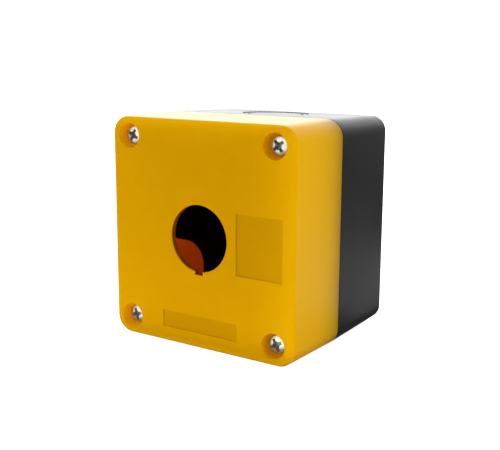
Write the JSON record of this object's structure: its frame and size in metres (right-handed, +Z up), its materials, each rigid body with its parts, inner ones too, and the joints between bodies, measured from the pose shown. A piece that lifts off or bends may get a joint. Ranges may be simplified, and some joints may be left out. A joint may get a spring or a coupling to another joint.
{
  "type": "push button station enclosure",
  "caption": "Square plastic push-button station box: yellow lift-off cover with a notched panel hole and captive corner screws, on a black wall base with cable knockouts.",
  "frame": {"origin": "middle of the box's footprint, on the surface it stands on", "axes": "+Z up, -Y out of the cover's face towards the user, +Y into the wall, +X to the user's right"},
  "size_m": [0.073, 0.063, 0.076],
  "materials": {
    "yellow_plastic": "fine satin moulding, slightly translucent at edges",
    "black_plastic": "fine satin moulding",
    "zinc_steel": "bright zinc plate",
    "gasket_rubber": "matt foam rubber cord",
    "ring_rubber": "smooth O-ring rubber",
    "brass": "turned"
  },
  "bodies": {
    "box_base": {"base": "black_plastic", "cover_gasket": "gasket_rubber", "top_knockout_disc": "black_plastic", "top_knockout_ring": "black_plastic", "bottom_knockout_disc": "black_plastic", "bottom_knockout_ring": "black_plastic", "top_left_insert": "brass", "top_right_insert": "brass", "bottom_left_insert": "brass", "bottom_right_insert": "brass"},
    "box_cover": {"cover": "yellow_plastic"},
    "top_left_ring": {"top_left_retaining_ring": "ring_rubber"},
    "top_left_screw": {"top_left_screw": "zinc_steel"},
    "top_right_ring": {"top_right_retaining_ring": "ring_rubber"},
    "top_right_screw": {"top_right_screw": "zinc_steel"},
    "bottom_left_ring": {"bottom_left_retaining_ring": "ring_rubber"},
    "bottom_left_screw": {"bottom_left_screw": "zinc_steel"},
    "bottom_right_ring": {"bottom_right_retaining_ring": "ring_rubber"},
    "bottom_right_screw": {"bottom_right_screw": "zinc_steel"}
  },
  "joints": [
    {"name": "cover_lift_off", "type": "slide", "parent": "box_base", "child": "box_cover", "axis": [0, -1, 0], "range_m": [0, 0.05]},
    {"name": "top_left_screw_back_out", "type": "slide", "parent": "box_cover", "child": "top_left_ring", "axis": [0, -1, 0], "range_m": [0, 0.006]},
    {"name": "top_left_screw_turn", "type": "hinge", "parent": "top_left_ring", "child": "top_left_screw", "pos_m": [-0.029, -0.027, 0.0694], "axis": [0, -1, 0], "range_deg": [0, 3600]},
    {"name": "top_right_screw_back_out", "type": "slide", "parent": "box_cover", "child": "top_right_ring", "axis": [0, -1, 0], "range_m": [0, 0.006]},
    {"name": "top_right_screw_turn", "type": "hinge", "parent": "top_right_ring", "child": "top_right_screw", "pos_m": [0.029, -0.027, 0.0694], "axis": [0, -1, 0], "range_deg": [0, 3600]},
    {"name": "bottom_left_screw_back_out", "type": "slide", "parent": "box_cover", "child": "bottom_left_ring", "axis": [0, -1, 0], "range_m": [0, 0.006]},
    {"name": "bottom_left_screw_turn", "type": "hinge", "parent": "bottom_left_ring", "child": "bottom_left_screw", "pos_m": [-0.029, -0.027, 0.0066], "axis": [0, -1, 0], "range_deg": [0, 3600]},
    {"name": "bottom_right_screw_back_out", "type": "slide", "parent": "box_cover", "child": "bottom_right_ring", "axis": [0, -1, 0], "range_m": [0, 0.006]},
    {"name": "bottom_right_screw_turn", "type": "hinge", "parent": "bottom_right_ring", "child": "bottom_right_screw", "pos_m": [0.029, -0.027, 0.0066], "axis": [0, -1, 0], "range_deg": [0, 3600]}
  ],
  "couplings": [
    {"joint": "top_left_screw_back_out", "follows": "top_left_screw_turn", "m_per_rad": 0.00009549},
    {"joint": "top_right_screw_back_out", "follows": "top_right_screw_turn", "m_per_rad": 0.00009549},
    {"joint": "bottom_left_screw_back_out", "follows": "bottom_left_screw_turn", "m_per_rad": 0.00009549},
    {"joint": "bottom_right_screw_back_out", "follows": "bottom_right_screw_turn", "m_per_rad": 0.00009549}
  ]
}
